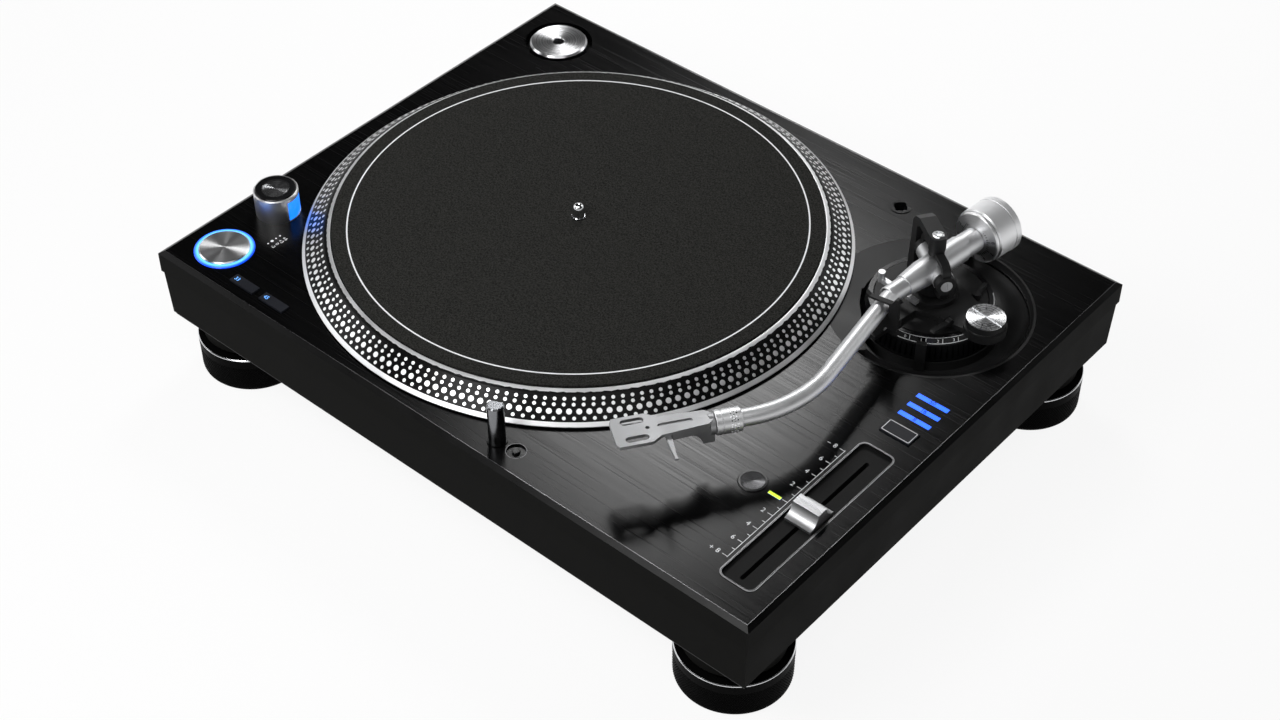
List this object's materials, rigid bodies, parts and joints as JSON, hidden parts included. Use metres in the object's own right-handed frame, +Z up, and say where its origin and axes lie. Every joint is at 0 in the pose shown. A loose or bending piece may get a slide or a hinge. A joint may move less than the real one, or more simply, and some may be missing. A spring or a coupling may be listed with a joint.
{
  "type": "record player for mixing",
  "caption": "Direct-drive DJ turntable: heavy platter with dotted rim, S-shaped tonearm on a height-adjustable base, tempo fader, strobe tower, pop-up light, screw feet.",
  "frame": {"origin": "on the floor under the middle of the cabinet's outline", "axes": "+X along the width to the right, +Y to the back, +Z up; the front edge faces -Y and the tonearm is at the back right"},
  "size_m": [0.453, 0.353, 0.1415],
  "materials": {
    "deck": "satin black with fine lines along the width",
    "body": "dark, fine matt grain",
    "base_sheet": "matt black",
    "screws": "zinc plated",
    "foot": "black with a bright turned edge",
    "stud": "plated thread",
    "platter": "dark lacquered rim with rows of silver dots, turned silver edge",
    "magnet": "sintered",
    "felt": "black felt",
    "spindle": "polished",
    "bearing": "turned",
    "coils": "circuit board with copper coils",
    "adapter": "spun silver",
    "lit_blue": "lit from behind",
    "start": "spun on its face",
    "tower": "brushed silver",
    "window": "clear blue, lit",
    "dial": "black knurl round a chrome centre",
    "keys": "black with a lit end",
    "light": "silver grey pillar",
    "button": "black",
    "fader": "black with a fine rim",
    "knob": "satin silver with a white line on the ridge",
    "socket": "plated",
    "dish": "satin black",
    "ring": "black with a white scale",
    "arm_base": "satin black",
    "black_arm": "satin black",
    "chrome": "polished",
    "silver": "satin silver",
    "tube": "bright silver",
    "weight": "turned silver with a knurled band",
    "track_dial": "spun silver with dark numbers",
    "shell": "satin silver",
    "terminals": "gilt",
    "inlet": "black",
    "board": "circuit board"
  },
  "bodies": {
    "cabinet": {"top_plate": "deck", "base_body": "body", "bottom_plate": "base_sheet", "bottom_screws": "screws", "spindle_bearing": "bearing", "motor_stator": "coils", "start_light_ring": "lit_blue", "strobe_tower": "tower", "strobe_window": "window", "deck_lights": "lit_blue", "fader_tray": "fader", "headshell_socket": "socket", "arm_dish": "dish", "rear_terminals": "terminals", "power_inlet": "inlet", "control_board": "board"},
    "platter_body": {"platter": "platter", "rotor_magnet": "magnet", "spindle": "spindle"},
    "slipmat_body": {"slipmat": "felt"},
    "adapter_body": {"adapter": "adapter"},
    "start_button_body": {"start_button": "start"},
    "power_dial_body": {"power_dial": "dial"},
    "key_left_body": {"speed_key_left": "keys"},
    "key_right_body": {"speed_key_right": "keys"},
    "range_button_body": {"range_button": "button"},
    "reset_button_body": {"reset_button": "button"},
    "light_button_body": {"light_button": "button"},
    "record_light_body": {"record_light": "light"},
    "tempo_knob_body": {"tempo_knob": "knob"},
    "switch_body": {"switch_slider": "inlet"},
    "height_ring_body": {"height_ring": "ring"},
    "arm_base_body": {"arm_base": "arm_base", "gimbal_arch": "black_arm", "arch_screw": "chrome", "arm_rest": "black_arm"},
    "lock_lever_body": {"lock_lever": "silver"},
    "anti_skate_body": {"anti_skate_knob": "track_dial"},
    "cue_lifter_body": {"cue_lifter": "silver"},
    "cue_lever_body": {"cue_lever": "black_arm"},
    "clip_body": {"arm_clip": "black_arm"},
    "gimbal_body": {"gimbal_ring": "black_arm", "pivot_screws": "silver"},
    "arm_body": {"arm_housing": "silver", "arm_tube": "tube", "rear_stub": "silver"},
    "bush_body": {"counterweight_bush": "silver"},
    "counterweight_body": {"counterweight": "weight"},
    "tracking_dial_body": {"tracking_dial": "track_dial"},
    "collar_body": {"locking_collar": "silver"},
    "headshell_body": {"headshell": "shell", "finger_lift": "shell"},
    "foot_1_stud_body": {"foot_1_stud": "stud"},
    "foot_1_shell_body": {"foot_1_shell": "foot"},
    "foot_2_stud_body": {"foot_2_stud": "stud"},
    "foot_2_shell_body": {"foot_2_shell": "foot"},
    "foot_3_stud_body": {"foot_3_stud": "stud"},
    "foot_3_shell_body": {"foot_3_shell": "foot"},
    "foot_4_stud_body": {"foot_4_stud": "stud"},
    "foot_4_shell_body": {"foot_4_shell": "foot"}
  },
  "joints": [
    {"name": "platter_spin", "type": "hinge", "parent": "cabinet", "child": "platter_body", "pos_m": [-0.0446, -0.0013, 0.09], "axis": [0, 0, -1], "continuous": true},
    {"name": "slipmat_slip", "type": "hinge", "parent": "platter_body", "child": "slipmat_body", "pos_m": [-0.0446, -0.0013, 0.102], "axis": [0, 0, -1], "continuous": true},
    {"name": "adapter_lift", "type": "slide", "parent": "cabinet", "child": "adapter_body", "axis": [0, 0, 1], "range_m": [0, 0.03]},
    {"name": "start_press", "type": "slide", "parent": "cabinet", "child": "start_button_body", "axis": [0, 0, -1], "range_m": [0, 0.0012], "stiffness_N_per_m": 300},
    {"name": "key_left_press", "type": "slide", "parent": "cabinet", "child": "key_left_body", "axis": [0, 0, -1], "range_m": [0, 0.0012], "stiffness_N_per_m": 300},
    {"name": "key_right_press", "type": "slide", "parent": "cabinet", "child": "key_right_body", "axis": [0, 0, -1], "range_m": [0, 0.0012], "stiffness_N_per_m": 300},
    {"name": "range_press", "type": "slide", "parent": "cabinet", "child": "range_button_body", "axis": [0, 0, -1], "range_m": [0, 0.0012], "stiffness_N_per_m": 300},
    {"name": "reset_press", "type": "slide", "parent": "cabinet", "child": "reset_button_body", "axis": [0, 0, -1], "range_m": [0, 0.0012], "stiffness_N_per_m": 300},
    {"name": "light_button_press", "type": "slide", "parent": "cabinet", "child": "light_button_body", "axis": [0, 0, -1], "range_m": [0, 0.0012], "stiffness_N_per_m": 300},
    {"name": "power_turn", "type": "hinge", "parent": "cabinet", "child": "power_dial_body", "pos_m": [-0.2003, -0.1031, 0.1], "axis": [0, 0, -1], "range_deg": [0, 60]},
    {"name": "record_light_pop", "type": "slide", "parent": "cabinet", "child": "record_light_body", "axis": [0, 0, 1], "range_m": [-0.026, 0]},
    {"name": "tempo_slide", "type": "slide", "parent": "cabinet", "child": "tempo_knob_body", "axis": [0, 1, 0], "range_m": [-0.048, 0.048]},
    {"name": "output_switch", "type": "slide", "parent": "cabinet", "child": "switch_body", "axis": [1, 0, 0], "range_m": [0, 0.004]},
    {"name": "arm_height", "type": "slide", "parent": "cabinet", "child": "arm_base_body", "axis": [0, 0, 1], "range_m": [0, 0.006]},
    {"name": "height_ring_turn", "type": "hinge", "parent": "cabinet", "child": "height_ring_body", "pos_m": [0.1526, 0.0848, 0.085], "axis": [0, 0, 1], "range_deg": [0, 120]},
    {"name": "lock_lever_turn", "type": "hinge", "parent": "arm_base_body", "child": "lock_lever_body", "pos_m": [0.1736, 0.1002, 0.097], "axis": [0, 0, 1], "range_deg": [0, 30]},
    {"name": "anti_skate_turn", "type": "hinge", "parent": "arm_base_body", "child": "anti_skate_body", "pos_m": [0.19281, 0.08001, 0.101], "axis": [0, 0, -1], "range_deg": [0, 270]},
    {"name": "arm_swing", "type": "hinge", "parent": "arm_base_body", "child": "gimbal_body", "pos_m": [0.1526, 0.0848, 0.1185], "axis": [0, 0, -1], "range_deg": [0, 42]},
    {"name": "arm_lift", "type": "hinge", "parent": "gimbal_body", "child": "arm_body", "pos_m": [0.1526, 0.0848, 0.1185], "axis": [-0.8192, 0.5736, 0], "range_deg": [0, 6]},
    {"name": "cue_lifter_rise", "type": "slide", "parent": "arm_base_body", "child": "cue_lifter_body", "axis": [0, 0, 1], "range_m": [0, 0.0025]},
    {"name": "cue_lever_turn", "type": "hinge", "parent": "arm_base_body", "child": "cue_lever_body", "pos_m": [0.17317, 0.06724, 0.101], "axis": [-0.993, 0.1184, 0], "range_deg": [0, 50]},
    {"name": "clip_open", "type": "hinge", "parent": "arm_base_body", "child": "clip_body", "pos_m": [0.15878, 0.03811, 0.1094], "axis": [-0.1599, 0.9871, 0], "range_deg": [0, 90]},
    {"name": "counterweight_travel", "type": "slide", "parent": "arm_body", "child": "bush_body", "axis": [0.1184, 0.9929, 0.0096], "range_m": [0, 0.008]},
    {"name": "counterweight_turn", "type": "hinge", "parent": "bush_body", "child": "counterweight_body", "pos_m": [0.15793, 0.12948, 0.11893], "axis": [0.1184, 0.9929, 0.0096], "range_deg": [0, 1440]},
    {"name": "tracking_dial_turn", "type": "hinge", "parent": "counterweight_body", "child": "tracking_dial_body", "pos_m": [0.15793, 0.12948, 0.11893], "axis": [0.1184, 0.9929, 0.0096], "range_deg": [-180, 180]},
    {"name": "collar_turn", "type": "hinge", "parent": "arm_body", "child": "collar_body", "pos_m": [0.137, -0.09672, 0.11675], "axis": [-0.5739, -0.8189, -0.0085], "range_deg": [0, 30]},
    {"name": "headshell_pull", "type": "slide", "parent": "arm_body", "child": "headshell_body", "axis": [-0.5739, -0.8189, -0.0085], "range_m": [0, 0.025]},
    {"name": "foot_1_height", "type": "slide", "parent": "cabinet", "child": "foot_1_stud_body", "axis": [0, 0, -1], "range_m": [0, 0.005]},
    {"name": "foot_1_turn", "type": "hinge", "parent": "foot_1_stud_body", "child": "foot_1_shell_body", "pos_m": [-0.192, -0.142, 0.012], "axis": [0, 0, -1], "range_deg": [0, 1440]},
    {"name": "foot_2_height", "type": "slide", "parent": "cabinet", "child": "foot_2_stud_body", "axis": [0, 0, -1], "range_m": [0, 0.005]},
    {"name": "foot_2_turn", "type": "hinge", "parent": "foot_2_stud_body", "child": "foot_2_shell_body", "pos_m": [0.192, -0.142, 0.012], "axis": [0, 0, -1], "range_deg": [0, 1440]},
    {"name": "foot_3_height", "type": "slide", "parent": "cabinet", "child": "foot_3_stud_body", "axis": [0, 0, -1], "range_m": [0, 0.005]},
    {"name": "foot_3_turn", "type": "hinge", "parent": "foot_3_stud_body", "child": "foot_3_shell_body", "pos_m": [-0.192, 0.142, 0.012], "axis": [0, 0, -1], "range_deg": [0, 1440]},
    {"name": "foot_4_height", "type": "slide", "parent": "cabinet", "child": "foot_4_stud_body", "axis": [0, 0, -1], "range_m": [0, 0.005]},
    {"name": "foot_4_turn", "type": "hinge", "parent": "foot_4_stud_body", "child": "foot_4_shell_body", "pos_m": [0.192, 0.142, 0.012], "axis": [0, 0, -1], "range_deg": [0, 1440]}
  ],
  "couplings": [
    {"joint": "height_ring_turn", "follows": "arm_height", "rad_per_m": 349.07},
    {"joint": "cue_lifter_rise", "follows": "arm_lift", "m_per_rad": 0.023873},
    {"joint": "cue_lever_turn", "follows": "arm_lift", "ratio": 8.3333},
    {"joint": "clip_open", "follows": "arm_lift", "ratio": 15},
    {"joint": "counterweight_turn", "follows": "counterweight_travel", "rad_per_m": 3141.6},
    {"joint": "foot_1_turn", "follows": "foot_1_height", "rad_per_m": 5026.5},
    {"joint": "foot_2_turn", "follows": "foot_2_height", "rad_per_m": 5026.5},
    {"joint": "foot_3_turn", "follows": "foot_3_height", "rad_per_m": 5026.5},
    {"joint": "foot_4_turn", "follows": "foot_4_height", "rad_per_m": 5026.5}
  ]
}
